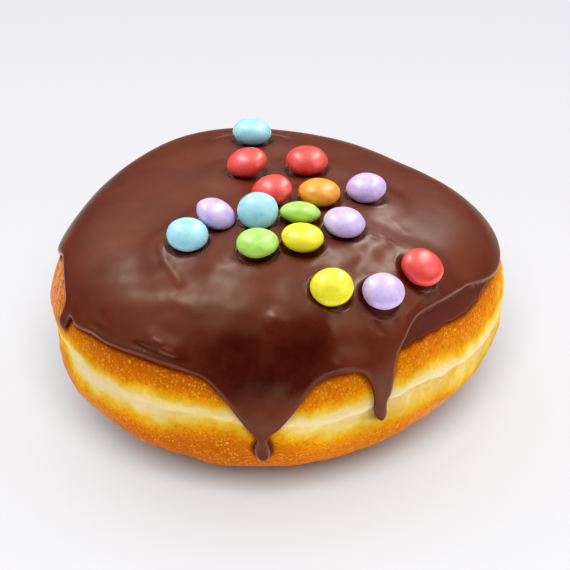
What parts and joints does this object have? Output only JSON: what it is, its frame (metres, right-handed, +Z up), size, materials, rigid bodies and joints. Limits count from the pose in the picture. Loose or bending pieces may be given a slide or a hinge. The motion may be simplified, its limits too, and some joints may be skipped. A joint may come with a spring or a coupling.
{
  "type": "berliner doughnut",
  "caption": "Round filled-style fried doughnut with a pale waist, a dripping chocolate icing cap and sugar-shelled chocolate lentils on top.",
  "frame": {"origin": "middle of the bounding box, on the plane that the doughnut rests on", "axes": "+Z up through the crown, -Y towards the front with the longest drips, +X to the right; Y is the longest direction"},
  "size_m": [0.0956, 0.1056, 0.0569],
  "materials": {
    "dough": "fried dough crust, golden brown with a pale cream waist, faintly oily",
    "chocolate_icing": "poured dark chocolate icing, set, satin gloss",
    "shell_blue": "polished sugar shell, sky blue",
    "shell_red": "polished sugar shell, red",
    "shell_orange": "polished sugar shell, orange, slightly dimpled",
    "shell_purple": "polished sugar shell, pale violet",
    "shell_green": "polished sugar shell, leaf green",
    "shell_yellow": "polished sugar shell, yellow"
  },
  "bodies": {
    "root": {"dough": "dough", "icing": "chocolate_icing", "lentil_blue_1": "shell_blue", "lentil_blue_2": "shell_blue", "lentil_blue_3": "shell_blue", "lentil_red_1": "shell_red", "lentil_red_2": "shell_red", "lentil_red_3": "shell_red", "lentil_red_4": "shell_red", "lentil_orange_1": "shell_orange", "lentil_purple_1": "shell_purple", "lentil_purple_2": "shell_purple", "lentil_purple_3": "shell_purple", "lentil_purple_4": "shell_purple", "lentil_green_1": "shell_green", "lentil_green_2": "shell_green", "lentil_yellow_1": "shell_yellow", "lentil_yellow_2": "shell_yellow"}
  },
  "joints": []
}
